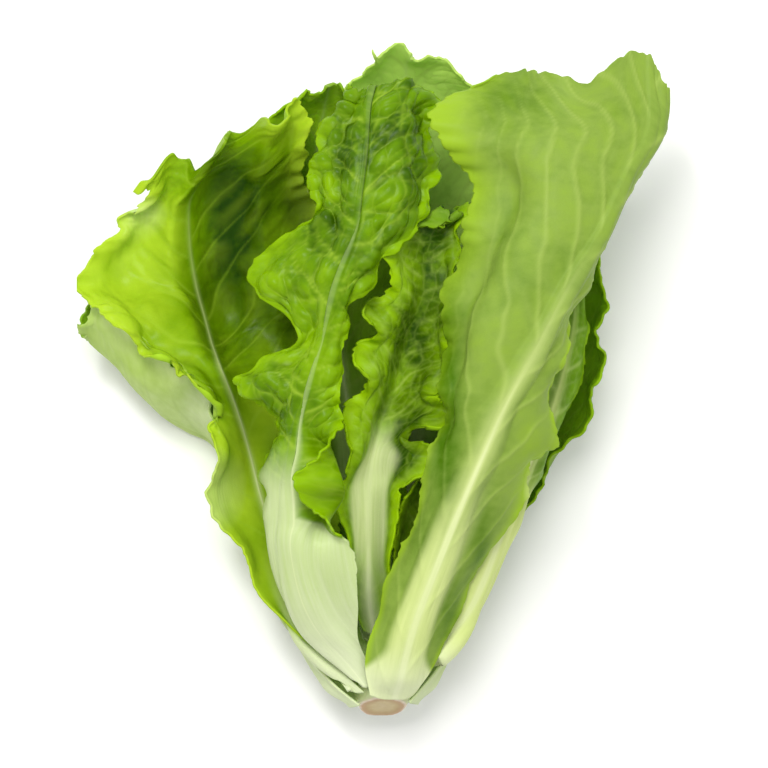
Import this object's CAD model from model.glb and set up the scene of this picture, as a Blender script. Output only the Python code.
"""Romaine lettuce heart lying fanned out: fine leaves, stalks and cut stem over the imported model.

Each leaf follows its solid's rows, with veins, pillows between them and a fine frill.
"""

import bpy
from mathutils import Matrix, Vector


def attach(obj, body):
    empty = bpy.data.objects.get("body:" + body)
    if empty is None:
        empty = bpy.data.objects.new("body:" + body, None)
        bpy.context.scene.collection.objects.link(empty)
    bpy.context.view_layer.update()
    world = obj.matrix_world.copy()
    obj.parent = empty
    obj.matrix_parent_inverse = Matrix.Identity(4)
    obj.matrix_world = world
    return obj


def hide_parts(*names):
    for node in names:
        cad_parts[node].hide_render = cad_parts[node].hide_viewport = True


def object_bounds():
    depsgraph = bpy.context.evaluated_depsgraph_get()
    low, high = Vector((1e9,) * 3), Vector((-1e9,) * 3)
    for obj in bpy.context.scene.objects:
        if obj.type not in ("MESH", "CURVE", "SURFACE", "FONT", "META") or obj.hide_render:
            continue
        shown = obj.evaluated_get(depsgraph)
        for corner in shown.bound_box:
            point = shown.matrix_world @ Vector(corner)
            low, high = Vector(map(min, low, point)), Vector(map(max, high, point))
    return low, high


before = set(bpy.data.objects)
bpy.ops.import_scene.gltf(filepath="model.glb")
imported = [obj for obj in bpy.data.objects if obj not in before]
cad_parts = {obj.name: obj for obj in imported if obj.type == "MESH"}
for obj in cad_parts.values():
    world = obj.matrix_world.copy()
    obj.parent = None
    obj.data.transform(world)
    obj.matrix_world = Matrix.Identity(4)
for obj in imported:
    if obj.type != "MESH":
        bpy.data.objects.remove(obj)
CAD_BOX = [[float(c) for c in corner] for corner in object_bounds()]

import functools
import math

import bpy
import numpy as np

bl_info = {
    "name": "Romaine Heart",
    "version": (1, 0, 0),
    "blender": (4, 5, 0),
    "location": "View3D > Sidebar > Romaine Heart",
    "description": "Builds the leaves, the stem end and the stage of a romaine lettuce heart",
    "category": "Object",
}

# Forms are in mm. ORIGIN is the point that lies at the frame's origin.
MM = 0.001
ORIGIN = np.array((-3.7, 118.3, 0.0))

# THICKEST bounds the rib and blade together. LEAF_GAP is the room kept between leaves that lie on each other.
BLADE_THICKNESS = 0.9
BASE_THICKNESS = 0.8
THICKEST = 6.0
LEAF_GAP = 0.7
REST_INNER_HEIGHT = 0.9
# Halves of a leaf that are narrower than these get lower folds and ruffles.
FOLD_WIDTH = 28
RUFFLE_WIDTH = 12

# The 1 mm height map that the leaves settle on: its rows and columns, and where its origin lies in it.
MAP_SIZE = (280, 260)
MAP_LEFT = 130
MAP_FRONT = 20
NOTHING_BELOW = -100.0
CAGE_COLUMNS = 5
SETTLE_ROUNDS = 12
SETTLED = 0.02

# Noise: how many random values along a line, and along each side of a plane, before they come again.
NOISE_VALUES = 400
TILE = 64

# The fine face: finest cells as a share of the larger ones, lengths of the frill's waves and of the teeth.
FINE_CELL = 0.42
FRILL_WAVE = 8
SAW_TOOTH = 4.2
PALE_FROM = 1.2
RELAX_ROUNDS = 30
RELAX_MOST = 0.8

# In metres: the height that the camera is set for, and the point of the floor that it looks down on.
VIEWED_HEIGHT = 0.04
CAMERA_OVER = (0.0038, -0.0014)
SENSOR_WIDTH = 36

STEM_CENTRE = (-0.4, 3.1, 24.0)
STEM_RADIUS = 8.3
STEM_CUT_SLOPE = 0.45

PLAIN_LEAF = {
    "outer": -1,
    "rib": (3.0, 0.6),
    "rib_width": (8, 1.5),
    "rib_fade": 1.4,
    "curl_from": 0.25,
    "flange": 0.0,
    "teeth": 1.1,
    "folds": (),
    "cuts": (),
    "tip_cuts": (),
}
LEAVES = {}
LOOKS = {}


def leaf(name, *rows, **form):
    """Keeps one leaf's form, in mm.

    rows: x, y, z of the left margin, of the rib and of the right margin, then the swell of each half.
    outer: +1 where the outer side faces up, -1 where it faces down.
    rib, rib_width: extra thickness and half width, at base and tip.
    swing, rise, wave: the margin's ruffles across, along the normal, and their length.
    curl_from: share of the half width from which the ruffles grow.
    flange: how far the margin curls towards the outer side.
    folds: long folds, each its place across, half width and height.
    cuts: bites in a margin, each its side, place along, half width and depth.
    tip_cuts: bites in the tip, each its place across, half width and depth.
    rib_fade: how fast the rib thins. teeth: height of the margin's teeth.
    """
    LEAVES[name] = {**PLAIN_LEAF, "rows": rows, **form}


# Lowest leaf first: each one lies on those before it.
leaf(
    "back_leaf",
    (-5, 9, 14, 0, 8, 12.8, 5, 9, 14, 0, 0),
    (-13, 34, 12, 0, 32, 8, 14, 34, 12, -0.5, -0.5),
    (-22, 70, 3, 2, 68, -1, 26, 70, 3, -1, -1),
    (-28, 110, 3, 3, 108, -1.5, 34, 110, 3, -1.5, -1.5),
    (-28, 150, 5, 6, 148, -0.5, 42, 150, 7, -1, -1),
    (-24, 185, 12, 9, 184, 6, 44, 184, 18, -1.5, -1.5),
    (-16, 212, 21, 9, 212, 14, 38, 212, 24, -1.5, -1.5),
    (-8, 227, 30, 8, 228, 25, 30, 222, 30, -1, -1),
    (-4, 235, 36, 10, 233, 33, 26, 226, 34, 0, 0),
    swing=2.0, rise=2.5, wave=24, seed=7,
)
leaf(
    "outer_left_leaf",
    (-8.2, 4.4, 32.8, -11.6, 3.6, 24.5, -7.5, 5.8, 14.5, -0.5, -0.5),
    (-18.5, 13, 32, -19, 14, 21, -9, 17, 13, -1, -1.5),
    (-31, 28, 27, -27, 28, 15, -14, 33, 9, -1, -1.5),
    (-43, 50, 22, -37, 52, 8, -22, 56, 6, -1, -1),
    (-54, 76, 21, -46, 76, 2.5, -28, 79, 4, -1, -0.5),
    (-58, 104, 33, -58, 96, 1.5, -32, 102, 3.5, -3, -0.5),
    (-62, 122, 39, -69, 102, 2.5, -40, 118, 4, -5, -0.5),
    (-71, 124, 41, -77, 107, 6, -48, 130, 5, -5, -1),
    (-81, 129, 41, -85, 115, 12, -58, 142, 7, -5, -1),
    (-90, 137, 40, -93, 124, 15, -70, 152, 11, -4, -1),
    (-98, 146, 37, -102, 131, 20, -84, 158, 17, -2, -1),
    (-103, 143, 33, -107, 134, 25, -96, 154, 24, 0, 0),
    swing=1.5, rise=2.0, wave=28, seed=9,
)
leaf(
    "outer_right_leaf",
    (7.5, 6.5, 14.5, 11.4, 4.4, 24, 8.6, 5.2, 32, -0.5, -0.5),
    (9, 20, 11, 17.5, 18, 17, 18.5, 17.5, 30, -1, -1.5),
    (14, 42, 6, 27, 40, 9, 32, 40, 20, -1, -2),
    (18, 66, 4, 36, 62, 4.5, 43, 62, 20, -1, -3),
    (22, 92, 4, 46, 84, 1.8, 56, 84, 21, -1, -4),
    (26, 116, 4, 54, 104, 1.6, 71, 106, 29, -1, -5),
    (30, 138, 5, 60, 124, 5, 75, 120, 34, -1, -5),
    (34, 160, 7, 64, 144, 13, 76, 140, 36, -2, -4),
    (40, 178, 14, 66, 164, 19, 76, 156, 35, -2, -2),
    (48, 190, 23, 64, 184, 28, 74, 172, 33, -1, -1),
    swing=1.5, rise=2.0, wave=24, seed=11,
    teeth=2.2,
)
leaf(
    "upper_left_leaf",
    (-7, 27, 17, -2, 25, 15, 3, 27, 16, 0, 0),
    (-17, 60, 13, -6, 58, 11, 8, 60, 13, -0.5, -0.5),
    (-26, 100, 12, -11, 98, 8.5, 8, 100, 12, -0.5, -0.5),
    (-38, 140, 12.5, -17, 138, 9, 8, 140, 13, -0.5, -0.5),
    (-50, 170, 17, -21, 172, 13, 6, 172, 18, -0.5, -0.5),
    (-50, 195, 27, -23, 198, 20, 2, 198, 25, -1, -1),
    (-38, 210, 36, -21, 213, 30, -4, 212, 32, -1, -1),
    (-28, 218, 40, -19, 221, 39, -10, 219, 38, 0, 0),
    rib=(2.5, 0.5), rib_width=(6, 1.5), swing=1.5, rise=2.0, wave=26, seed=6,
)
# Its waist and slanting tip are laid out finer than the solid's, so that the face doesn't turn over.
leaf(
    "left_leaf",
    (-6.5, 8.8, 35.5, -12, 9.5, 26.5, -7.5, 12, 18.5, -1, -1),
    (-20, 21, 34, -23, 26, 24, -10, 30, 17, -3, -2),
    (-42, 42, 34, -31, 42, 22, -12, 45, 16, -2, -2),
    (-50, 60, 34, -37, 59, 20, -15, 62, 16, -3, -2),
    (-60, 78, 35, -43, 76, 18.5, -17, 79, 16, -3, -2),
    (-57, 96, 33, -47, 92, 18, -20, 95, 16, -2, -2),
    (-60, 110, 32, -51, 107, 18, -22, 111, 16, -2, -2),
    (-69, 122, 34, -56, 121, 18, -22, 128, 17, -3, -2),
    (-86, 131, 37, -60, 131, 19, -22, 140, 17.5, -5, -2),
    (-99, 146, 36, -63, 141, 20, -22, 150, 18, -5, -2),
    (-106, 154, 30, -66, 152, 23, -24, 166, 22, -2, -3),
    (-96, 170, 34, -68, 166, 27, -26, 180, 27, -2, -4),
    (-90, 175, 34, -68, 180, 31, -27, 192, 32, -1, -4),
    (-84, 180, 36, -64, 188, 35, -27, 200, 38, -1, -3),
    (-83, 184, 39, -60, 195, 39, -27, 208, 43, 0, -2),
    (-84, 188, 41, -56, 203, 42, -28, 216, 47, 1, 1),
    rib_width=(7, 1.5), swing=2.0, rise=3.0, wave=26, seed=4,
    flange=1.5,
    folds=((-0.62, 0.16, -2.5), (-0.22, 0.16, 5), (0.2, 0.17, -5), (0.6, 0.12, 3.5), (0.84, 0.1, -2)),
    tip_cuts=((-0.35, 0.12, 5), (0.25, 0.1, 4)), teeth=1.8,
    cuts=((-1, 1.0, 0.03, -5), (-1, 0.74, 0.02, 4)),
)
leaf(
    "inner_right_leaf",
    (4, 27, 28, 8, 24, 24, 12, 27, 26, -0.5, -0.5),
    (5, 44, 37, 14, 40, 28, 22, 42, 31, -2, -1),
    (4, 61, 43, 17, 57, 30, 29, 58, 35, -4, -2),
    (8, 77, 46, 22, 74, 32, 34, 74, 38, -4, -2),
    (15, 89, 49, 27, 90, 36, 38, 90, 42, -4, -2),
    (21, 100, 50, 31, 104, 42, 40, 104, 47, -3, -1),
    (26, 116, 52, 34, 120, 47, 42, 120, 50, -1, -1),
    (30, 130, 53, 35, 134, 51, 40, 133, 52, 0, 0),
    rib=(2.5, 0.5), rib_width=(6, 1.5), swing=0.8, rise=1.0, wave=24, seed=8,
)
leaf(
    "right_leaf",
    (8.5, 15, 31, 10, 14, 27, 9, 15, 22, 0.5, 0.5),
    (12, 27, 33, 21, 27, 31, 26, 27.5, 22, 1, 1.5),
    (20, 44, 37, 31, 44, 36, 36.5, 45, 25, 2, 2.5),
    (26, 66, 41, 40, 66, 40, 45.5, 66, 28, 3, 3),
    (30, 88, 44, 48, 86, 41, 54, 87, 30, 4, 3),
    (34, 108, 46, 56, 104, 41, 61, 102, 31, 4, 3),
    (40, 128, 47, 62, 122, 42, 68, 118, 34, 3, 2),
    (46, 146, 47, 66, 140, 41, 71, 134, 35, 2, 1),
    (56, 158, 44, 67, 156, 41, 70, 150, 37, 1, 1),
    outer=1, rib=(3.5, 0.6), swing=1.0, rise=1.5, wave=24, seed=10,
)
leaf(
    "centre_leaf",
    (-7, 30, 26, -3, 28, 23, 2, 30, 26, 0, 0),
    (-11, 42, 34, -5, 41, 28, 2, 42, 33, -1, -1),
    (-12, 58, 40, -5, 58, 33, 2, 58, 38, -1.5, -1.5),
    (-14, 76, 44, -5, 76, 36, 4, 76, 42, -2, -2),
    (-13, 85, 46, -4.5, 84, 37, 7, 84, 44, -2, -2),
    (-9, 93, 48, -3.5, 92, 38, 12, 91, 46, 0, -2),
    (-9, 101, 50, -2, 99, 38.5, 7, 98.5, 48, 1, -2),
    (-10, 109, 53, 0, 106, 39, 20, 106, 50, 2, -3),
    (-7, 118, 54, 3, 114, 40, 15, 113, 52, 2, -3),
    (-5, 129, 56, 6, 124, 41, 19, 120, 53, 2, -3),
    (-3, 139, 57, 9, 134, 43, 22, 129, 54, 2, -3),
    (3, 150, 58, 13, 148, 47, 24, 144, 54, 1, -2),
    (0, 162, 58, 14, 162, 48, 26, 160, 51, 0, -1),
    (9, 170, 56, 18, 172, 50, 27, 172, 49, 0, 0),
    (21, 176, 54, 25, 178, 51, 30, 179, 49, 0, 0),
    rib=(2.5, 0.6), swing=2.5, rise=3.2, wave=24, seed=2,
    curl_from=0.35, flange=5.0,
)
leaf(
    "crinkled_leaf",
    (-8.5, 12, 31, -6.5, 10.5, 34, -2.5, 11.5, 35.5, 0.5, 0.5),
    (-24, 29, 33, -18, 27, 39, -9, 27, 39, 1.5, 1),
    (-35, 43, 36, -27, 42, 48, -9, 42, 48, 3, 1),
    (-40, 60, 38, -31, 60, 54, -11, 59, 55, 4, 2),
    (-41, 69, 39, -31, 69, 55, -17, 67, 62, 4, -8),
    (-41, 77, 40, -31, 77, 56, -27, 75, 67, 4, -16),
    (-41, 85, 41, -31, 85, 57, -31, 84, 69, 4, -17),
    (-40, 93, 43, -30, 93, 58, -22, 92, 68, 4, -11),
    (-38, 102, 45, -29, 102, 59, -17, 98, 65, 3, -4),
    (-42, 110, 48, -27.5, 109, 60.5, -15, 107, 61, 2, 1),
    (-51, 119, 51, -26, 116, 62, -15, 114, 60, 1, 1),
    (-30, 134, 57, -21, 133, 64, -14, 131, 60, 0, 1),
    (-48, 156, 50, -17, 151, 66, -9, 148, 59, 2, 1),
    (-26, 175, 55, -10, 170, 66, 6, 165, 56, 2, 2),
    (-26, 186, 55, -8, 184, 66, 17, 183, 52, 2, 3),
    (-24, 197, 54, -6, 199, 63, 17, 200, 50, 2, 3),
    (-17, 212, 51, -5, 213, 57, 20, 213, 48, 1, 2),
    (-13, 219, 49, -3, 221, 53, 19, 221, 46, 0.5, 1),
    outer=1, rib=(4.5, 0.5), rib_width=(12, 1.5), swing=1.5, rise=2.0, wave=22, seed=5,
    rib_fade=3.2, teeth=1.6,
    folds=((-0.45, 0.16, -2.5), (0.5, 0.16, 2.5), (0.05, 0.12, -1.5)),
)
leaf(
    "front_right_leaf",
    (-5, 8, 35.5, 3.5, 6.6, 36, 10, 8, 30.5, 1, 1),
    (-6, 22, 42, 6, 20, 44, 18, 20, 35, 1.5, 1.5),
    (1, 45, 47, 13, 41, 53, 27, 40, 42, 2, 2),
    (13, 78, 54, 27, 76, 64, 46, 76, 50, 3, 3),
    (21, 110, 56, 41, 108, 71, 57, 96, 56, 6, 3),
    (20, 138, 58, 53, 131, 74, 60, 122, 64, 9, 1),
    (25, 163, 60, 64, 152, 74, 67, 142, 64, 8, 1),
    (31, 183, 62, 75, 170, 70, 73, 160, 58, 8, 2),
    (18, 202, 64, 84, 190, 64, 80, 178, 50, 8, 2),
    (21, 214, 62, 92, 205, 58, 96, 200, 45, 7, 2),
    (30, 222, 58, 93, 226, 54, 100, 214, 47, 5, 1),
    outer=1, rib=(4.0, 0.6), rib_width=(10, 1.5), swing=2.0, rise=2.5, wave=34, seed=3,
    tip_cuts=((-0.82, 0.16, -5), (-0.38, 0.09, 6), (-0.1, 0.25, -5)), teeth=2.0,
    folds=((-0.7, 0.13, -4), (-0.3, 0.16, 1.5)),
    cuts=((1, 0.94, 0.025, 6), (1, 0.4, 0.02, -3), (1, 0.31, 0.02, -2.5), (1, 0.355, 0.015, 2)),
)

def look(name, finish, *patches, **values):
    """Keeps one leaf's finish, in mm.

    patches: place x, y, reach x, y and how much deeper (below 0) or paler the blade is there.
    Above PALE_FROM it also turns towards the tone of the stalk.
    cells: how many along and across. veins: spacing and lean. pillow: cell size and height.
    vein_half: half width of a vein. net: strength of the netted veins.
    frill: height of the margin's small waves. cell_tone: how much the cells differ in tone.
    rib: half width at base and tip, its rest at the tip, where it fades.
    stalk: share of the length and of the half width that is pale, and where along it starts.
    """
    LOOKS[name] = {"vein_half": 0.75, "cell_tone": 0.1, "finish": finish, "patches": patches, **values}


look(
    "back_leaf", "back",
    (10, 228, 24, 9, 0.6),
    cells=(220, 90), veins=(15, 0.9), pillow=(9, 0.35),
    net=0.4, frill=0.8, rib=(4, 0.8, 0.3, 0.9), stalk=(0.4, 0.6, -0.2),
)
look(
    "outer_left_leaf", "outer",
    (-62, 110, 16, 17, 1.9), (-100, 135, 20, 12, 0.5),
    cells=(240, 100), veins=(14, 0.6), pillow=(8, 0.3),
    net=0.4, frill=0.6, rib=(4, 0.8, 0.3, 0.9), stalk=(0.35, 1.6, -0.2),
)
look(
    "outer_right_leaf", "deep", cells=(220, 90), veins=(13, 1.0), pillow=(9, 0.5),
    net=0.6, frill=0.9, cell_tone=0.2, rib=(4, 0.8, 0.4, 0.9), stalk=(0.24, 1.6, -0.2),
)
look(
    "upper_left_leaf", "deep",
    (-30, 212, 16, 12, 1.2),
    cells=(200, 80), veins=(14, 0.9), pillow=(9, 0.4),
    net=0.5, frill=0.8, cell_tone=0.2, rib=(3, 0.7, 0.3, 0.9), stalk=(0.3, 0.6, -0.2),
)
look(
    "left_leaf", "left",
    (-92, 160, 22, 30, 1.25), (-55, 165, 13, 45, -1.3), (-42, 185, 14, 25, -0.5),
    (-74, 170, 7, 40, 0.35), (-40, 207, 32, 9, 1.2), (-36, 137, 10, 16, -0.4),
    (-61, 78, 7, 26, 2.1), (-50, 82, 7, 27, 1.25), (-39, 110, 8, 13, 0.9),
    (-42, 46, 9, 15, 1.1), (-84, 178, 10, 8, 1.0), (-28, 178, 9, 17, -1.2),
    (-37, 175, 3, 30, 0.4),
    cells=(300, 156), veins=(15, 0.8), pillow=(14, 1.0),
    vein_half=0.55, net=0.05, frill=1.1, cell_tone=0.0, rib=(1.7, 0.7, 0.2, 0.9), stalk=(0.14, 0.7, -0.2),
)
look(
    "inner_right_leaf", "heart",
    (15, 80, 20, 60, -0.5),
    cells=(180, 70), veins=(12, 0.7), pillow=(8, 0.2),
    net=0.5, frill=0.5, rib=(3, 0.7, 0.4, 0.9), stalk=(0.2, 0.6, -0.2),
)
look(
    "right_leaf", "right", cells=(200, 90), veins=(14, 0.9), pillow=(9, 0.25),
    net=0.3, frill=0.6, rib=(9, 1.0, 0.3, 0.9), stalk=(0.46, 0.95, -0.2),
)
look(
    "centre_leaf", "heart",
    (10, 125, 8, 25, -0.7), (10, 100, 10, 8, -0.8), (17, 157, 7, 30, -0.9),
    (-6, 146, 6, 14, -1.3), (17, 178, 10, 10, -1.6), (8, 91, 6, 9, -1.0),
    (22, 140, 6, 20, -0.5),
    cells=(280, 140), veins=(12, 0.7), pillow=(9, 0.6),
    net=0.5, frill=0.8, cell_tone=0.25, rib=(4.5, 0.8, 0.0, 0.6), stalk=(0.43, 0.6, 0.06),
)
look(
    "crinkled_leaf", "crinkled",
    (1, 196, 16, 15, -0.9), (-22, 125, 12, 14, 0.9), (-38, 150, 12, 8, 0.4),
    (-20, 82, 8, 16, 0.8), (-17, 66, 8, 9, 1.0), (-30, 89, 7, 9, 0.75), (-5, 147, 5, 10, -1.3),
    cells=(300, 160), veins=(16, 0.8), pillow=(10.5, 2.8),
    vein_half=0.6, net=0.8, frill=1.0, cell_tone=0.75, rib=(0.9, 0.45, 0.2, 0.7), stalk=(0.37, 1.3, -0.2),
)
look(
    "front_right_leaf", "front",
    (22, 110, 5, 45, -1.5), (40, 215, 20, 10, -0.8), (24, 203, 7, 22, 0.7),
    (27, 167, 4, 12, -0.7), (51, 80, 5, 14, 1.8), (43, 165, 8, 20, -0.3), (33, 60, 5, 24, -0.8),
    (24, 28, 6, 18, -0.9), (14, 62, 5, 26, -0.4),
    cells=(300, 150), veins=(23, 2.3), pillow=(11, -0.25),
    vein_half=0.8, net=0.1, frill=0.7, cell_tone=0.08, rib=(5.0, 1.0, 0.0, 0.72), stalk=(0.3, 0.42, -0.2),
)


def unit(vectors):
    return vectors / np.maximum(np.linalg.norm(vectors, axis=-1, keepdims=True), 1e-9)


def eased(x):
    x = np.clip(x, 0, 1)
    return x * x * (3 - 2 * x)


def through(points, at):
    """A smooth curve through the points, read at positions counted in points."""
    points = np.asarray(points, float)
    before, after = 2 * points[:1] - points[1:2], 2 * points[-1:] - points[-2:-1]
    padded = np.concatenate([before, points, after])
    at = np.clip(np.asarray(at, float), 0, len(points) - 1)
    i = np.minimum(at.astype(int), len(points) - 2)
    f = (at - i).reshape(-1, *([1] * (points.ndim - 1)))
    a, b, c, d = padded[i], padded[i + 1], padded[i + 2], padded[i + 3]
    square = (2 * a - 5 * b + 4 * c - d) * f**2
    cube = (3 * b - a - 3 * c + d) * f**3
    return 0.5 * (2 * b + (c - a) * f + square + cube)


def wobble(along, seed, step):
    """Smooth noise between -1 and 1, one random value at each step."""
    values = np.random.default_rng(seed).uniform(-1, 1, NOISE_VALUES)
    k = along / step + 50
    i = np.floor(k).astype(int) % (NOISE_VALUES - 3)
    f = eased(k - np.floor(k))
    return values[i] * (1 - f) + values[i + 1] * f


def patchy(x, y, seed):
    """Smooth noise over a plane, between -1 and 1, one random value at each whole number."""
    values = np.random.default_rng(seed).uniform(-1, 1, (TILE, TILE))
    i, j = np.floor(x).astype(int), np.floor(y).astype(int)
    f, g = eased(x - i), eased(y - j)
    a, b = values[i % TILE, j % TILE], values[(i + 1) % TILE, j % TILE]
    c, d = values[i % TILE, (j + 1) % TILE], values[(i + 1) % TILE, (j + 1) % TILE]
    return (a * (1 - f) + b * f) * (1 - g) + (c * (1 - f) + d * f) * g


def arc(line):
    steps = np.linalg.norm(np.diff(line, axis=0), axis=1)
    return np.concatenate([[0], np.cumsum(steps)])


def cage_of(rows):
    """The rows with the swollen middle of each half: left margin, half, rib, half, right margin."""
    left, rib, right, swell = np.split(np.array(rows, float), (3, 6, 9), axis=1)
    run = unit(np.gradient(rib, axis=0))
    left_up = unit(np.cross(run, left - rib))
    right_up = unit(np.cross(right - rib, run))
    left_half = (left + rib) / 2 + left_up * swell[:, :1]
    right_half = (right + rib) / 2 + right_up * swell[:, 1:]
    return np.stack([left, left_half, rib, right_half, right], axis=1)


def frame_of(grid):
    along = unit(np.gradient(grid, axis=0))
    across = unit(np.gradient(grid, axis=1))
    return along, across, unit(np.cross(across, along))


def bump(x, place, width):
    return np.exp(-(((x - place) / width) ** 2))


def width_of(grid, v):
    """The straight width of the half that each point lies in."""
    middle = len(v) // 2
    margin = np.where(v[None, :, None] < 0, grid[:, :1], grid[:, -1:])
    return np.linalg.norm(margin - grid[:, middle : middle + 1], axis=-1)


def folded(grid, form, u, v):
    """The grid with its long folds, and its margins curled towards the outer side."""
    normal = frame_of(grid)[2]
    room = np.clip(width_of(grid, v) / FOLD_WIDTH, 0, 1)
    height = 0 * v
    for place, width, size in form["folds"]:
        height = height + size * bump(v, place, width)
    curl = form["outer"] * form["flange"] * eased((np.abs(v) - 0.72) / 0.28) ** 1.2
    curled = (eased(u * 5 - 0.6) * (1 - eased(u * 6 - 4.6)))[:, None]
    rise = height[None] * eased(u * 2.5 - 0.6)[:, None] + curl[None] * curled
    return grid + normal * (rise * room)[..., None]


def ruffled(grid, form, u, v):
    """The grid with its margins waved across and along the normal, its teeth and its bites."""
    grid = folded(grid, form, u, v)
    along, across, normal = frame_of(grid)
    side = np.abs(v)[None]
    left = v[None] < 0
    middle = len(v) // 2
    margin = np.where(left, arc(grid[:, 0])[:, None], arc(grid[:, -1])[:, None])
    run = margin * side + arc(grid[:, middle])[:, None] * (1 - side)
    seed = form["seed"] * 10
    turn = 2 * math.pi * run / form["wave"] + seed + np.where(left, 0, 2)
    turn = turn + 2.2 * wobble(run, seed + 1, form["wave"] * 1.3)
    size = 0.75 + 0.45 * wobble(run + np.where(left, 0, 300), seed + 2, form["wave"])
    curl = eased((side - form["curl_from"]) / (1 - form["curl_from"])) ** 1.3
    size = size * curl * eased(u * 3 - 0.15)[:, None]
    size = size * np.clip(width_of(grid, v) / RUFFLE_WIDTH, 0.1, 1)
    teeth = form["teeth"] * wobble(run + np.where(left, 0, 500), seed + 3, 6) * eased(side * 5 - 4)
    swing = form["swing"] * np.sin(turn) * size + teeth * eased(u * 4 - 0.6)[:, None]
    for which, place, width, depth in form["cuts"]:
        near = eased(which * v[None] * 2.5 - 1.5)
        swing = swing - depth * bump(u, place, width)[:, None] * near
    grid = grid + across * (np.where(left, -1, 1) * swing)[..., None]
    grid = grid + normal * (form["rise"] * np.cos(turn) * size)[..., None]
    tip = eased((u - 0.8) / 0.2)[:, None] ** 1.5
    width = np.linalg.norm(grid[-1, 0] - grid[-1, -1])
    turn = math.pi * v[None] * max(2, width / form["wave"]) + seed
    lift = 0.8 * form["rise"] * np.sin(turn) * tip
    notch = (1.2 * np.sin(1.3 * turn + 1) + 0.8 * wobble(v[None] * width, seed + 4, 6)) * tip
    for place, width, depth in form["tip_cuts"]:
        notch = notch - depth * bump(v, place, width)[None] * tip
    return grid + normal * lift[..., None] + along * notch[..., None]


def distance_out(grid, v):
    """How far each point lies from the rib, in mm along the straight of its row."""
    return np.abs(v)[None] * width_of(grid, v)


def ridge_of(grid, form, u, v):
    """The rib as a share of its full height, and that height in mm."""
    fade = ((1 - u) ** form["rib_fade"])[:, None]
    width = form["rib_width"][1] + (form["rib_width"][0] - form["rib_width"][1]) * fade
    height = form["rib"][1] + (form["rib"][0] - form["rib"][1]) * fade
    return eased(1 - (distance_out(grid, v) / width) ** 2), height


def thickness_of(grid, form, u, v):
    """The blade's thickness, thicker along the rib and thin where the stalk meets the stem."""
    ridge, height = ridge_of(grid, form, u, v)
    full = BLADE_THICKNESS - BASE_THICKNESS + height * ridge
    return BASE_THICKNESS + full * eased(u * 12)[:, None]


def inner_face(form, lifts, cells):
    """A leaf's inner side as a grid of points, with the place of each row along it and column across."""
    u = np.linspace(0, 1, cells[0] + 1)
    v = np.linspace(-1, 1, cells[1] + 1)
    cage = cage_of(form["rows"])
    cage[..., 2] += lifts
    rows = through(cage, u * (len(cage) - 1))
    grid = through(rows.transpose(1, 0, 2), (v + 1) * 2).transpose(1, 0, 2)
    grid = ruffled(grid, form, u, v)
    grid[..., 2] = np.maximum(grid[..., 2], REST_INNER_HEIGHT)
    return grid, u, v


def faces_of(form, lifts, cells):
    """Lower and upper face of a leaf as two grids of points."""
    grid, u, v = inner_face(form, lifts, cells)
    normal = frame_of(grid)[2]
    outer = grid + form["outer"] * normal * thickness_of(grid, form, u, v)[..., None]
    outer[..., 2] = np.maximum(outer[..., 2], 0)
    return (outer, grid) if form["outer"] < 0 else (grid, outer)


def cell_of(points):
    """Row and column of a 1 mm height map that holds the whole head."""
    rows, columns = MAP_SIZE
    column = np.clip((points[..., 0] + MAP_LEFT).astype(int), 1, columns - 2)
    row = np.clip((points[..., 1] + MAP_FRONT).astype(int), 1, rows - 2)
    return row, column


def spread(heights):
    """Each cell takes the highest of itself and its neighbours."""
    around = [np.roll(heights, (i, j), (0, 1)) for i in (-1, 0, 1) for j in (-1, 0, 1)]
    return np.max(around, axis=0)


def settle():
    """Raises each leaf's cage just enough to clear the leaves below, the lowest leaf first."""
    heights = np.full(MAP_SIZE, NOTHING_BELOW)
    lifts = {}
    for name, form in LEAVES.items():
        rows = len(form["rows"])
        raised = np.zeros((rows, CAGE_COLUMNS))
        below = spread(heights)
        cells = (12 * rows, 48)
        u = np.linspace(0, rows - 1, cells[0] + 1)
        v = np.linspace(0, CAGE_COLUMNS - 1, cells[1] + 1)
        near_row = np.clip(1.2 - np.abs(u[None] - np.arange(rows)[:, None]), 0, 1)
        near_column = np.clip(1.2 - np.abs(v[None] - np.arange(CAGE_COLUMNS)[:, None]), 0, 1)
        for _ in range(SETTLE_ROUNDS):
            low, high = faces_of(form, raised, cells)
            need = np.maximum(below[cell_of(low)] - low[..., 2], below[cell_of(high)] - high[..., 2])
            need = np.clip(need + LEAF_GAP, 0, None)
            if need.max() < SETTLED:
                break
            pull = need[None, None] * near_row[:, None, :, None] * near_column[None, :, None]
            raised = raised + 0.8 * pull.max(axis=(2, 3))
        for face in faces_of(form, raised, (24 * rows, 96)):
            np.maximum.at(heights, cell_of(face), face[..., 2])
        lifts[name] = raised
    return lifts


def cell_edges(x, y, size, seed):
    """Distance in mm to the nearest edge between uneven cells of about this size, and each cell's tone."""
    x, y = x / size, y / size
    centres = np.random.default_rng(seed).uniform(0.1, 0.9, (TILE, TILE, 2))
    i, j = np.floor(x).astype(int), np.floor(y).astype(int)
    nearest = np.full(x.shape, 9.0)
    second = nearest.copy()
    tone = 0 * nearest
    for a in (-1, 0, 1):
        for b in (-1, 0, 1):
            centre = centres[(i + a) % TILE, (j + b) % TILE]
            away = np.hypot(i + a + centre[..., 0] - x, j + b + centre[..., 1] - y)
            second = np.minimum(second, np.maximum(nearest, away))
            tone = np.where(away < nearest, 2 * np.modf(centre[..., 0] * 97)[0] - 1, tone)
            nearest = np.minimum(nearest, away)
    return (second - nearest) * size / 2, tone


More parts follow.
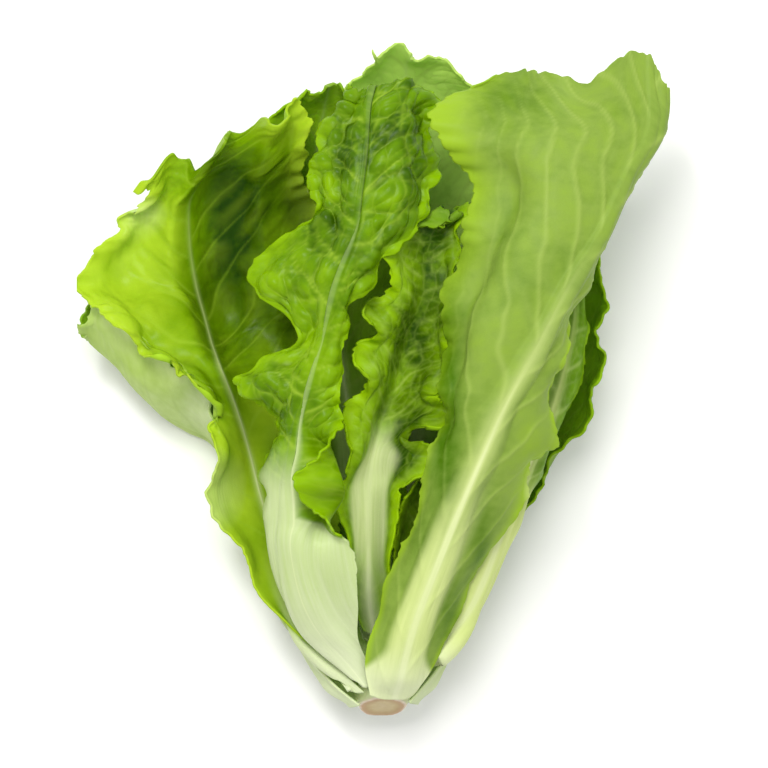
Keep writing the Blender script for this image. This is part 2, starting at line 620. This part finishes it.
def side_veins(look, run, out, half, side, left, seed):
    """Strength of the side veins, the distance to the nearest one in mm, and how far out they reach."""
    spacing, lean = look["veins"]
    bent = 3.0 * patchy(run / 19, out / 13 + 20 * left, seed + 5)
    bent = bent + patchy(run / 7, out / 6 + 20 * left, seed + 6)
    turn = (run - lean * out - 0.006 * out**2 + bent) / spacing + left
    apart = np.abs(turn - np.floor(turn + 0.5)) * spacing / math.hypot(1, lean)
    reach = eased(1.12 - side * 0.9) * eased(half / 12)
    return bump(apart, 0, look["vein_half"] * (1 - 0.4 * side)) * reach, apart, reach


def stalk_share(look, u, v, side):
    """How far each point belongs to the pale stalk, from 0 to 1."""
    end, share, start = look["stalk"]
    pale = eased((end - u) / 0.16 + 0.5) * eased((u - start) / 0.12)
    wide = share * (1.25 - 0.6 * u / end) + eased(1.2 - 9 * u)
    if look["finish"] == "crinkled":
        wide = wide - np.where(v > 0, 1.1, 0)[None] * eased(u * 14 - 2.6)
    return pale * eased((wide - side) / 0.3 + 0.5)


def rib_share(look, u, out):
    """How far each point belongs to the pale rib, which narrows and fades towards the tip."""
    base, tip, rest, end = look["rib"]
    half = tip + (base - tip) * (1 - u) ** 1.5
    rib = 0.75 * bump(out, 0, half) + 0.35 * bump(out, 0, 0.3 * half)
    return rib * (1 - (1 - rest) * eased(1 - (end - u) * 2.2))


def toothed(grid, along, across, u, v, margin_run, side, half, seed):
    """The grid with the fine teeth of its margins and of its tip."""
    saw = 1 - 2 * np.mod(margin_run / SAW_TOOTH + 0.8 * wobble(margin_run, seed + 15, 9), 1)
    bite = 0.9 * wobble(margin_run, seed + 12, 2.6)
    bite = bite + 0.8 * saw * (0.6 + 0.4 * wobble(margin_run, seed + 13, 12))
    bite = bite * eased(side * 12 - 11) * eased(u * 8 - 0.8) * eased(half / 8)
    end = 0.9 * wobble(v[None] * half.max(), seed + 14, 2.4) * eased((u - 0.97) / 0.03)
    grid = grid + across * (np.where(v < 0, -1, 1)[None] * bite)[..., None]
    return grid + along * end[..., None]


def veined(grid, form, look, u, v):
    """The fine inner face with pillows and frill, and the masks that its finish reads."""
    size, pillow = look["pillow"]
    lean = look["veins"][1]
    seed = form["seed"] * 10
    out, half = distance_out(grid, v), width_of(grid, v)
    u = u[:, None]
    side = np.abs(v)[None] + 0 * out
    which = np.where(v < 0, -1, 1)[None]
    left = np.where(v < 0, 0.0, 0.47)[None]
    rib_run = arc(grid[:, len(v) // 2])[:, None] + 0 * out
    margin_run = np.where(v < 0, arc(grid[:, 0])[:, None], arc(grid[:, -1])[:, None]) + 0 * out
    side_vein, apart, reach = side_veins(look, rib_run, out, half, side, left, seed)

    x = which * out + 2.0 * patchy(rib_run / 11, out / 9 + 40, seed + 7)
    y = rib_run - 0.5 * lean * out + 2.0 * patchy(rib_run / 8 + 30, out / 10, seed + 8)
    edge, tone = cell_edges(x, y, size, seed + 1)
    fine_edge, fine_tone = cell_edges(x, y, FINE_CELL * size, seed + 2)
    net = look["net"] * bump(edge, 0, 0.5) * eased(out / 4) * reach
    dome = 1 - bump(edge, 0, 0.24 * size)
    small_dome = 1 - bump(fine_edge, 0, 0.1 * size)

    pale = stalk_share(look, u, v, side)
    blade = eased((out - 1.5) / 5) * eased(u * 3.2 - 0.9)
    blade = blade * (1 - 0.85 * pale) * (1 - 0.4 * eased(side * 6 - 5))
    height = (0.75 * dome + 0.3 * small_dome) * (1 - 0.75 * bump(apart, 0, 1.6) * reach) - 0.45
    height = pillow * (height + 0.3 * patchy(rib_run / 14, out / 14 + 31 * left, seed + 9)) * blade
    turn = 2 * math.pi * margin_run / FRILL_WAVE + 3 * wobble(margin_run, seed + 9, 11)
    fringe = eased(side * 4.5 - 3.5) * eased(u * 4 - 0.6) * eased(half / 14 - 0.3)
    frill = look["frill"] * np.sin(turn) * fringe * (0.6 + 0.4 * wobble(margin_run, seed + 11, 14))
    along, across, normal = frame_of(grid)
    grid = grid + normal * (height + frill)[..., None]
    grid = toothed(grid, along, across, u, v, margin_run, side, half, seed)

    place_x, place_y = grid[..., 0], grid[..., 1]
    shade = look["cell_tone"] * (tone * eased(edge / 2) + 0.5 * fine_tone * eased(fine_edge)) * blade
    for at_x, at_y, reach_x, reach_y, much in look["patches"]:
        shade = shade + much * bump(place_x, at_x, reach_x) * bump(place_y, at_y, reach_y)
    pale = np.clip(pale + np.clip(shade - PALE_FROM, 0, 0.7), 0, 1)
    masks = {
        "vein": np.clip(np.maximum(side_vein, net), 0, 1) * eased(out / 2) * (1 - 0.7 * pale),
        "rib": np.clip(rib_share(look, u, out), 0, 1),
        "stalk": pale,
        "base": eased(1.3 - 8 * u) + 0 * out,
        "margin": eased(side * 4 - 3) * eased(half / 6),
        "pillow": np.clip(dome * blade, 0, 1),
        "shade": 0.5 + 0.4 * np.clip(shade, -1.25, 1.25),
        "veinlet": bump(fine_edge, 0, 0.32) * (1 - pale) * min(1, 2 * look["net"]),
    }
    raised = 0.35 * side_vein * eased(out / 3) if look["finish"] == "front" else 0 * out
    return grid, masks, raised, np.stack([which * out, rib_run], axis=-1) / 10


def relaxed(grid):
    """The grid with its sharpest creases smoothed."""
    rows, columns = grid.shape[:2]
    steps = ((0, 1), (2, 1), (1, 0), (1, 2))
    for _ in range(RELAX_ROUNDS):
        normal = frame_of(grid)[2]
        beside = np.pad(normal, ((1, 1), (1, 1), (0, 0)), "edge")
        turns = [1 - (normal * beside[i : i + rows, j : j + columns]).sum(axis=-1) for i, j in steps]
        weight = np.clip(3 * np.max(turns, axis=0) - 0.5, 0, RELAX_MOST)
        weight = np.pad(weight, 1, "edge")
        weight = np.max([weight[i : i + rows, j : j + columns] for i, j in steps + ((1, 1),)], axis=0)
        around = np.pad(grid, ((1, 1), (1, 1), (0, 0)), "reflect", reflect_type="odd")
        mean = np.mean([around[i : i + rows, j : j + columns] for i, j in steps], axis=0)
        grid = grid + weight[..., None] * (mean - grid)
    return grid


def hex_colour(text):
    """A #RRGGBB colour as Blender's linear RGBA."""
    parts = [int(text[i : i + 2], 16) / 255 for i in (1, 3, 5)]
    linear = [c / 12.92 if c <= 0.04045 else ((c + 0.055) / 1.055) ** 2.4 for c in parts]
    return (*linear, 1.0)


def add(tree, kind, inputs=None, give=None, **settings):
    """Adds a node with its settings and links. Gives its output of this name, or the first that is on.

    inputs: each input's name, or its place among those that are on, with a value or an output that feeds it.
    """
    node = tree.nodes.new("ShaderNode" + kind)
    for name, value in settings.items():
        setattr(node, name, value)
    free = [socket for socket in node.inputs if socket.enabled]
    for name, value in (inputs or {}).items():
        socket = free[name] if isinstance(name, int) else next(s for s in free if s.name == name)
        if isinstance(value, bpy.types.NodeSocket):
            tree.links.new(value, socket)
        else:
            socket.default_value = value
    return next((s for s in node.outputs if s.enabled and give in (None, s.name)), None)


def start_material(name):
    material = bpy.data.materials.new(name)
    material.use_nodes = True
    tree = material.node_tree
    tree.nodes.clear()
    return material, tree


def leaf_material(name, tones, roughness, wax, share, mottling):
    """Fresh lettuce blade: soft mottled green, a little waxy, with paler veins and a limy margin."""
    material, tree = start_material(name)
    node = functools.partial(add, tree)
    blade, deep, lime, vein, stalk, glow = (hex_colour(tone) for tone in tones)
    keys = ("vein", "rib", "stalk", "base", "margin", "pillow", "shade", "veinlet")
    mask = {key: node("Attribute", give="Fac", attribute_name=key) for key in keys}

    # The map is in centimetres: broad clouds of 20 mm, mottling of 4 mm and a grain of half a millimetre.
    place = node("UVMap", uv_map="UVMap")
    broad = node("TexNoise", {"Vector": place, "Scale": 0.5, "Detail": 2.0})
    mottle = node("TexNoise", {"Vector": place, "Scale": 2.4, "Detail": 5.0})
    grain = node("TexNoise", {"Vector": place, "Scale": 20.0, "Detail": 3.0})
    clouds = node("MapRange", {"Value": broad, "To Min": -0.5, "To Max": 0.5})
    specks = node("MapRange", {"Value": mottle, "To Min": -0.35, "To Max": 0.35})
    uneven = node("Math", {0: clouds, 1: specks}, operation="ADD")
    uneven = node("Math", {0: uneven, 1: mottling}, operation="MULTIPLY")
    ripe = node("Math", {0: mask["shade"], 1: uneven}, operation="ADD")
    dark = node("MapRange", {"Value": ripe, "From Max": 0.5, "To Min": 1.0, "To Max": 0.0})
    light = node("MapRange", {"Value": ripe, "From Min": 0.5, "From Max": 1.1, "To Max": 0.8})
    quiet = node("MapRange", {"Value": dark, "To Min": 1.0, "To Max": 0.35})
    colour = node("Mix", {"Factor": dark, "A": blade, "B": deep}, data_type="RGBA")
    colour = node("Mix", {"Factor": light, "A": colour, "B": lime}, data_type="RGBA")

    # Each mask lays its tone over the blade. The veins and the margin are quieter where the blade is dark.
    layers = (("pillow", 0.15, lime, 1.0), ("veinlet", 0.16, vein, 1.0), ("vein", 0.62, vein, quiet))
    for key, most, tone, where in (*layers, ("margin", 0.8, lime, quiet)):
        much = node("MapRange", {"Value": mask[key], "To Max": most})
        much = node("Math", {0: much, 1: where}, operation="MULTIPLY")
        colour = node("Mix", {"Factor": much, "A": colour, "B": tone}, data_type="RGBA")

    # Stalk and rib: pale flesh with fibres a millimetre apart, palest on the crest and at the base.
    stretched = node("Mapping", {"Vector": place, "Scale": (9.0, 0.35, 1.0)})
    fibre = node("TexNoise", {"Vector": stretched, "Scale": 1.0, "Detail": 4.0})
    much = node("MapRange", {"Value": fibre, "To Min": -0.3, "To Max": 0.5})
    flesh = node("Mix", {"Factor": much, "A": stalk, "B": vein}, data_type="RGBA")
    crest = node("Math", {0: mask["rib"], 1: 6.0}, operation="POWER")
    for value, tone in ((crest, "#EEF5C0"), (mask["base"], "#F4F8DA")):
        much = node("MapRange", {"Value": value, "To Max": 0.55})
        flesh = node("Mix", {"Factor": much, "A": flesh, "B": hex_colour(tone)}, data_type="RGBA")
    on_rib = node("MapRange", {"Value": mask["rib"], "To Max": 0.9})
    on_stalk = node("MapRange", {"Value": mask["stalk"], "To Max": 0.88})
    ribs = node("Math", {0: on_rib, 1: on_stalk}, operation="MAXIMUM")
    colour = node("Mix", {"Factor": ribs, "A": colour, "B": flesh}, data_type="RGBA")

    # Relief of a few tenths of a millimetre: grain, fibres, and creases along the finest veins.
    depth = node("MapRange", {"Value": ribs, "To Min": 0.1, "To Max": 1.6})
    parts = ((fibre, depth), (mask["veinlet"], -0.35))
    surface = node("Math", {0: grain, 1: 0.4}, operation="MULTIPLY")
    for value, much in parts:
        part = node("Math", {0: value, 1: much}, operation="MULTIPLY")
        surface = node("Math", {0: surface, 1: part}, operation="ADD")
    normal = node("Bump", {"Height": surface, "Strength": 0.8, "Distance": 0.00025})
    dull = node("MapRange", {"Value": mottle, "To Min": -0.08, "To Max": 0.1})
    rough = node("Math", {0: dull, 1: roughness}, operation="ADD")
    inputs = {"Base Color": colour, "Roughness": rough, "Normal": normal, "IOR": 1.45}
    inputs.update({"Specular IOR Level": 0.12, "Coat Weight": wax, "Coat Roughness": 0.25})
    skin = node("BsdfPrincipled", inputs)
    lit = node("Mix", {"Factor": 0.6, "A": colour, "B": glow}, data_type="RGBA")
    let_through = node("BsdfTranslucent", {"Color": lit})
    mixed = node("MixShader", {0: share, 1: skin, 2: let_through})
    node("OutputMaterial", {"Surface": mixed})
    return material


# Tones: blade, darker patches, limy margin, veins, stalk, and the light through the blade.
TONES = {
    "front upper": ("#7EAC18", "#5A8A08", "#A0CC10", "#A8C458", "#CCDC98", "#A0D400"),
    "front lower": ("#84A040", "#466E00", "#98BC20", "#A0B858", "#D8E596", "#98C800"),
    "outer upper": ("#84B01C", "#5E8C08", "#A4D010", "#AAC65C", "#E4ECBC", "#A0D400"),
    "outer lower": ("#BCD86C", "#9CBC48", "#DCEEA0", "#B8D078", "#DCE6BC", "#B0DC18"),
    "heart upper": ("#86B010", "#2C4E00", "#A8D400", "#B0CC58", "#EEF6BC", "#A8E000"),
    "heart lower": ("#88B028", "#64900A", "#AAD404", "#AEC860", "#D2E0A0", "#A8E000"),
    "crinkled upper": ("#628C00", "#305400", "#8CB800", "#A0C038", "#D0DEA6", "#80B400"),
    "crinkled lower": ("#5C8600", "#284C00", "#8CB800", "#A0C038", "#D0DEA6", "#80B400"),
    "left upper": ("#7AA402", "#1C3E00", "#BEDE30", "#A0C430", "#D4E690", "#98CC00"),
    "left lower": ("#A0C04C", "#80A824", "#ACD81C", "#BCD478", "#DCE6B4", "#ACDC08"),
    "right upper": ("#608C04", "#406800", "#88B408", "#A4BC60", "#DAE690", "#98CC08"),
    "right lower": ("#64900C", "#446C00", "#88B408", "#B0C870", "#DAE690", "#98CC08"),
    "deep upper": ("#7CA818", "#4C7604", "#98C410", "#94B440", "#C8DC90", "#8CC400"),
    "deep lower": ("#6C9414", "#4C7404", "#94BC08", "#ACC460", "#CCDC98", "#98CC00"),
    "back upper": ("#D0EE7C", "#94BC44", "#D8F478", "#B4CC68", "#D4E0A4", "#A8D800"),
    "back lower": ("#B4D46C", "#94B844", "#A4CC20", "#B0C86C", "#D4E0A4", "#A0D010"),
}


# Share of the light that comes through the blade, roughness, and weight of the waxy coat.
LET_THROUGH = {"front": 0.12, "right": 0.12, "crinkled": 0.14, "back": 0.4}
FACES = (("upper", 0.38, 0.02), ("lower", 0.45, 0.0))
GLOSSY_FACES = ("crinkled upper", "crinkled lower", "left upper")
GLOSS = (0.3, 0.03)


def leaf_materials(finish):
    """The two faces of one finish, made once."""
    made = []
    for face, roughness, wax in FACES:
        kind = finish + " " + face
        name = finish.title() + " lettuce leaf, " + face + " face"
        found = bpy.data.materials.get(name)
        if not found:
            if kind in GLOSSY_FACES:
                roughness, wax = GLOSS
            mottling = 0.5 if finish in ("front", "left") else 1.0
            share = LET_THROUGH.get(finish, 0.25)
            found = leaf_material(name, TONES[kind], roughness, wax, share, mottling)
        made.append(found)
    return made


def cut_stem_material():
    """Lettuce stem, cut and dried: browned and matte with a darker ring, a pale rim and a green flank."""
    material, tree = start_material("Dry cut lettuce stem")
    node = functools.partial(add, tree)
    place = node("TexCoord", give="Object")
    cut = node("Attribute", give="Fac", attribute_name="cut")
    out = node("Attribute", give="Fac", attribute_name="out")
    # Spots of about 2 mm and a grain of less than 1 mm.
    spots = node("TexNoise", {"Vector": place, "Scale": 420.0, "Detail": 4.0})
    grain = node("TexNoise", {"Vector": place, "Scale": 1500.0, "Detail": 2.0})
    ring = node("ValToRGB", {"Fac": out})
    stops = ((0.0, "#C8B890"), (0.45, "#C4B488"), (0.7, "#B49A70"), (0.85, "#B89878"), (0.96, "#EADCCB"))
    ramp = ring.node.color_ramp
    while len(ramp.elements) < len(stops):
        ramp.elements.new(0.5)
    for element, (position, tone) in zip(ramp.elements, stops):
        element.position = position
        element.color = hex_colour(tone)
    much = node("MapRange", {"Value": spots, "To Min": -0.3, "To Max": 0.7})
    face = node("Mix", {"Factor": much, "A": ring, "B": hex_colour("#AE966C")}, data_type="RGBA")
    tones = {"A": hex_colour("#D6E0AC"), "B": hex_colour("#C8D690")}
    flank = node("Mix", {"Factor": spots, **tones}, data_type="RGBA")
    fine = node("Math", {0: grain, 1: 0.5}, operation="MULTIPLY")
    relief = node("Math", {0: spots, 1: fine}, operation="ADD")
    inputs = {
        "Base Color": node("Mix", {"Factor": cut, "A": flank, "B": face}, data_type="RGBA"),
        "Roughness": node("MapRange", {"Value": cut, "To Min": 0.42, "To Max": 0.72}),
        "Normal": node("Bump", {"Height": relief, "Strength": 0.6, "Distance": 0.0003}),
        "IOR": 1.45,
        "Subsurface Weight": 0.15,
        "Subsurface Radius": (0.003, 0.002, 0.001),
        "Subsurface Scale": 1.0,
    }
    node("OutputMaterial", {"Surface": node("BsdfPrincipled", inputs)})
    return material


def studio_floor_material():
    """Matte white paper floor, with clouds too faint to notice."""
    material, tree = start_material("Matte white studio floor")
    place = add(tree, "TexCoord", give="Object")
    soft = add(tree, "TexNoise", {"Vector": place, "Scale": 3.0, "Detail": 2.0})
    tones = {"A": hex_colour("#FAFAFA"), "B": hex_colour("#F6F6F6")}
    colour = add(tree, "Mix", {"Factor": soft, **tones}, data_type="RGBA")
    shader = add(tree, "BsdfPrincipled", {"Base Color": colour, "Roughness": 0.9, "IOR": 1.45})
    add(tree, "OutputMaterial", {"Surface": shader})
    return material


def new_grid(name, points):
    """A grid whose corners are moved onto these points, in metres. Gives it with each vertex's place."""
    bpy.ops.object.select_all(action="DESELECT")
    rows, columns = points.shape[:2]
    bpy.ops.mesh.primitive_grid_add(x_subdivisions=columns - 1, y_subdivisions=rows - 1, size=2)
    piece = bpy.context.object
    piece.name = name
    piece.data.name = name
    flat = np.empty(len(piece.data.vertices) * 3, np.float32)
    piece.data.vertices.foreach_get("co", flat)
    flat = flat.reshape(-1, 3)
    column = np.rint((flat[:, 0] + 1) / 2 * (columns - 1)).astype(int)
    row = np.rint((flat[:, 1] + 1) / 2 * (rows - 1)).astype(int)
    piece.data.vertices.foreach_set("co", points[row, column].astype(np.float32).ravel())
    return piece, (row, column)


def set_masks(mesh, masks, place):
    for name, values in masks.items():
        layer = mesh.attributes.new(name, "FLOAT", "POINT")
        layer.data.foreach_set("value", values[place].astype(np.float32))


def set_uv(mesh, uv, place):
    """The piece's own map: across and along the leaf, in centimetres."""
    corner = np.empty(len(mesh.loops), np.int32)
    mesh.loops.foreach_get("vertex_index", corner)
    layer = mesh.uv_layers.active
    layer.name = "UVMap"
    layer.data.foreach_set("uv", uv[place][corner].astype(np.float32).ravel())


def weigh(piece, name, weights):
    """A vertex group whose weights are given in hundredths."""
    group = piece.vertex_groups.new(name=name)
    steps = np.rint(weights * 100).astype(int)
    for step in np.unique(steps):
        group.add(np.flatnonzero(steps == step).tolist(), step / 100, "REPLACE")


def kept_in_box(piece):
    """No point of the piece reaches outside the box of the solids."""
    mesh = piece.data
    flat = np.empty(len(mesh.vertices) * 3, np.float32)
    mesh.vertices.foreach_get("co", flat)
    low, high = np.array(CAD_BOX)
    points = flat.reshape(-1, 3)
    points[:, 2] -= max(0, points[:, 2].max() - high[2])
    inside = np.clip(points, low, high)
    mesh.vertices.foreach_set("co", inside.astype(np.float32).ravel())
    mesh.update()


def build_leaf(name, lifts, detail):
    """One fine leaf: its inner side, thickened towards the outer one, with a finish for each."""
    form = LEAVES[name]
    look = LOOKS[name]
    cells = [max(20, int(count * detail / 2) * 2) for count in look["cells"]]
    grid, u, v = inner_face(form, lifts[name], cells)
    thick = thickness_of(grid, form, u, v)
    grid, masks, raised, uv = veined(grid, form, look, u, v)
    grid = relaxed(grid)
    grid[..., 2] = np.maximum(grid[..., 2], REST_INNER_HEIGHT)
    piece, place = new_grid(name + "_fine", (grid - ORIGIN) * MM)
    mesh = piece.data
    set_masks(mesh, masks, place)
    set_uv(mesh, uv, place)
    if form["outer"] > 0:
        mesh.flip_normals()
    weigh(piece, "thickness", np.clip((thick + raised)[place] / THICKEST, 0, 1))
    for material in leaf_materials(look["finish"]):
        mesh.materials.append(material)
    shell = piece.modifiers.new("Blade", "SOLIDIFY")
    shell.thickness = THICKEST * MM
    shell.offset = -1
    shell.vertex_group = "thickness"
    shell.thickness_vertex_group = 0
    shell.use_quality_normals = True
    shell.material_offset = 1
    shell.material_offset_rim = 0
    bpy.ops.object.modifier_apply(modifier=shell.name)
    kept_in_box(piece)
    bpy.ops.object.shade_smooth()
    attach(piece, "root")
    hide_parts(name)


# Rings of the stem from the middle of the cut: mm behind it, share of the radius, 1 for cut or 0 for skin.
STEM_RINGS = (
    (0.5, 0.0, 1), (0.42, 0.2, 1), (0.38, 0.4, 1), (0.3, 0.55, 1), (0.12, 0.7, 1), (0.0, 0.8, 1),
    (0.02, 0.88, 1), (0.12, 0.94, 1), (0.4, 0.985, 0.8), (0.8, 1.0, 0.3), (1.6, 1.05, 0), (2.5, 1.1, 0),
    (3.7, 1.14, 0), (5.0, 1.155, 0), (6.3, 1.11, 0), (7.5, 1.0, 0), (10.0, 0.74, 0), (14.0, 0.52, 0),
    (18.0, 0.32, 0), (21.5, 0.12, 0), (22.0, 0.0, 0),
)


def stem_shape(sides):
    """Rings from the middle of the cut face out to its rim and back along the core."""
    turn = np.linspace(0, 2 * math.pi, sides + 1)
    behind, share, cut = (np.array(column)[:, None] for column in zip(*STEM_RINGS))
    wavy = 1 + 0.04 * np.sin(2 * turn + 0.6) + 0.025 * np.sin(5 * turn)
    wavy = wavy + 0.008 * np.sin(11 * turn + 1) * (share > 0.6)
    radius = STEM_RADIUS * share * wavy
    rise = radius * np.sin(turn)
    slope = STEM_CUT_SLOPE * np.clip(1 - behind / 14, 0, 1) * rise
    rough = 0.12 * patchy(4 * radius * np.cos(turn) / 5, 4 * rise / 5, 77) * cut * (share > 0.05)
    x, y, z = STEM_CENTRE
    points = np.stack([x + radius * np.cos(turn), y + behind + slope + rough, z + rise], axis=-1)
    masks = {"cut": cut + 0 * radius, "out": np.clip(share, 0, 1) + 0 * radius}
    return points, masks


def build_stem(sides):
    points, masks = stem_shape(sides)
    piece, place = new_grid("stem_butt_fine", (points - ORIGIN) * MM)
    set_masks(piece.data, masks, place)
    bpy.ops.object.mode_set(mode="EDIT")
    bpy.ops.mesh.select_all(action="SELECT")
    bpy.ops.mesh.remove_doubles(threshold=0.000002)
    bpy.ops.mesh.normals_make_consistent(inside=False)
    bpy.ops.object.mode_set(mode="OBJECT")
    piece.data.materials.append(cut_stem_material())
    kept_in_box(piece)
    bpy.ops.object.shade_smooth()
    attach(piece, "root")
    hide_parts("stem_butt")


def pointing(obj, target):
    """Turns a light so that it shines at the target."""
    away = np.array(obj.location) - np.array(target)
    flat = math.hypot(away[0], away[1])
    obj.rotation_euler = (math.atan2(flat, away[2]), 0, math.atan2(away[0], -away[1]))


def soft_light(name, place, size, power, tone, target):
    data = bpy.data.lights.new(name, "AREA")
    data.shape = "SQUARE"
    data.size = size
    data.energy = power
    data.color = hex_colour(tone)[:3]
    light = bpy.data.objects.new(name, data)
    bpy.context.scene.collection.objects.link(light)
    light.location = place
    pointing(light, target)


def build_stage(settings):
    scene = bpy.context.scene
    bpy.ops.object.select_all(action="DESELECT")
    bpy.ops.mesh.primitive_plane_add(size=settings.floor_size)
    floor = bpy.context.object
    floor.name = "floor"
    floor.data.materials.append(studio_floor_material())
    world = bpy.data.worlds.new("Studio")
    world.use_nodes = True
    back = world.node_tree.nodes["Background"]
    back.inputs["Color"].default_value = hex_colour("#FFFFFF")
    back.inputs["Strength"].default_value = settings.sky_strength
    scene.world = world
    middle = (0.0, 0.0, VIEWED_HEIGHT)
    soft_light("key_left", (-0.3, 1.35, 3.1), 1.6, settings.key_power, "#FFFDF8", middle)
    soft_light("fill_right", (2.2, 0.4, 2.6), 2.0, settings.fill_power, "#FFFFFF", middle)
    soft_light("glint_left", (-0.7, 1.6, 2.5), 0.45, settings.glint_power, "#FFFFFF", middle)
    data = bpy.data.cameras.new("camera")
    data.sensor_width = SENSOR_WIDTH
    data.lens = SENSOR_WIDTH * (settings.camera_height - VIEWED_HEIGHT) / settings.view_width
    camera = bpy.data.objects.new("camera", data)
    scene.collection.objects.link(camera)
    camera.location = (*CAMERA_OVER, settings.camera_height)
    scene.camera = camera
    scene.view_settings.view_transform = "Standard"


class RomaineLeafSettings(bpy.types.PropertyGroup):
    detail: bpy.props.FloatProperty(
        name="Detail",
        description="Share of the full number of cells along and across each leaf",
        default=1.0,
        min=0.2,
        max=1.2,
        subtype="FACTOR",
    )
    stem_sides: bpy.props.IntProperty(
        name="Stem sides", description="Cells round the cut stem end", default=120, min=24
    )


class RomaineStageSettings(bpy.types.PropertyGroup):
    floor_size: bpy.props.FloatProperty(
        name="Floor size", description="Side of the floor", default=8.0, subtype="DISTANCE"
    )
    sky_strength: bpy.props.FloatProperty(
        name="Sky strength", description="Light from all around", default=0.72
    )
    key_power: bpy.props.FloatProperty(
        name="Key power", description="Light from the upper left", default=68.0, subtype="POWER"
    )
    fill_power: bpy.props.FloatProperty(
        name="Fill power", description="Light from the right", default=12.0, subtype="POWER"
    )
    glint_power: bpy.props.FloatProperty(
        name="Glint power", description="Small light that glints on the blades", default=22.0, subtype="POWER"
    )
    camera_height: bpy.props.FloatProperty(
        name="Camera height", description="Height of the camera", default=3.0, subtype="DISTANCE"
    )
    view_width: bpy.props.FloatProperty(
        name="View width", description="Width seen at the leaves", default=0.2688, subtype="DISTANCE"
    )


def build_leaves(names):
    lifts = settle()
    detail = bpy.context.scene.romaine_leaves.detail
    for name in names:
        build_leaf(name, lifts, detail)


class ROMAINE_OT_stem(bpy.types.Operator):
    """Build the cut stem end"""

    bl_idname = "romaine.stem"
    bl_label = "Stem end"

    def execute(self, context):
        build_stem(context.scene.romaine_leaves.stem_sides)
        return {"FINISHED"}


class ROMAINE_OT_outer_leaves(bpy.types.Operator):
    """Build the outer leaves that the head lies on and that stand at its sides"""

    bl_idname = "romaine.outer_leaves"
    bl_label = "Outer leaves"

    def execute(self, context):
        build_leaves(["back_leaf", "outer_left_leaf", "outer_right_leaf", "upper_left_leaf", "right_leaf"])
        return {"FINISHED"}


class ROMAINE_OT_open_leaves(bpy.types.Operator):
    """Build the open left leaf and the small leaves of the middle"""

    bl_idname = "romaine.open_leaves"
    bl_label = "Open and middle leaves"

    def execute(self, context):
        build_leaves(["left_leaf", "centre_leaf", "inner_right_leaf"])
        return {"FINISHED"}


class ROMAINE_OT_top_leaves(bpy.types.Operator):
    """Build the two leaves that lie on top"""

    bl_idname = "romaine.top_leaves"
    bl_label = "Top leaves"

    def execute(self, context):
        build_leaves(["crinkled_leaf", "front_right_leaf"])
        return {"FINISHED"}


class ROMAINE_OT_stage(bpy.types.Operator):
    """Set the floor, the lights and the camera"""

    bl_idname = "romaine.stage"
    bl_label = "Stage"

    def execute(self, context):
        build_stage(context.scene.romaine_stage)
        return {"FINISHED"}


class ROMAINE_PT_panel(bpy.types.Panel):
    """The romaine heart's pieces and settings"""

    bl_label = "Romaine Heart"
    bl_idname = "ROMAINE_PT_panel"
    bl_space_type = "VIEW_3D"
    bl_region_type = "UI"
    bl_category = "Romaine Heart"

    def draw(self, context):
        layout = self.layout
        for name in RomaineLeafSettings.__annotations__:
            layout.prop(context.scene.romaine_leaves, name)
        for kind in OPERATORS:
            layout.operator(kind.bl_idname)
        for name in RomaineStageSettings.__annotations__:
            layout.prop(context.scene.romaine_stage, name)


OPERATORS = (
    ROMAINE_OT_stem,
    ROMAINE_OT_outer_leaves,
    ROMAINE_OT_open_leaves,
    ROMAINE_OT_top_leaves,
    ROMAINE_OT_stage,
)
CLASSES = (RomaineLeafSettings, RomaineStageSettings, *OPERATORS, ROMAINE_PT_panel)


def register():
    for kind in CLASSES:
        bpy.utils.register_class(kind)
    bpy.types.Scene.romaine_leaves = bpy.props.PointerProperty(type=RomaineLeafSettings)
    bpy.types.Scene.romaine_stage = bpy.props.PointerProperty(type=RomaineStageSettings)


def unregister():
    del bpy.types.Scene.romaine_stage
    del bpy.types.Scene.romaine_leaves
    for kind in reversed(CLASSES):
        bpy.utils.unregister_class(kind)


def main():
    register()
    bpy.ops.romaine.stem()
    bpy.ops.romaine.outer_leaves()
    bpy.ops.romaine.open_leaves()
    bpy.ops.romaine.top_leaves()
    bpy.ops.romaine.stage()


if __name__ == "__main__":
    main()
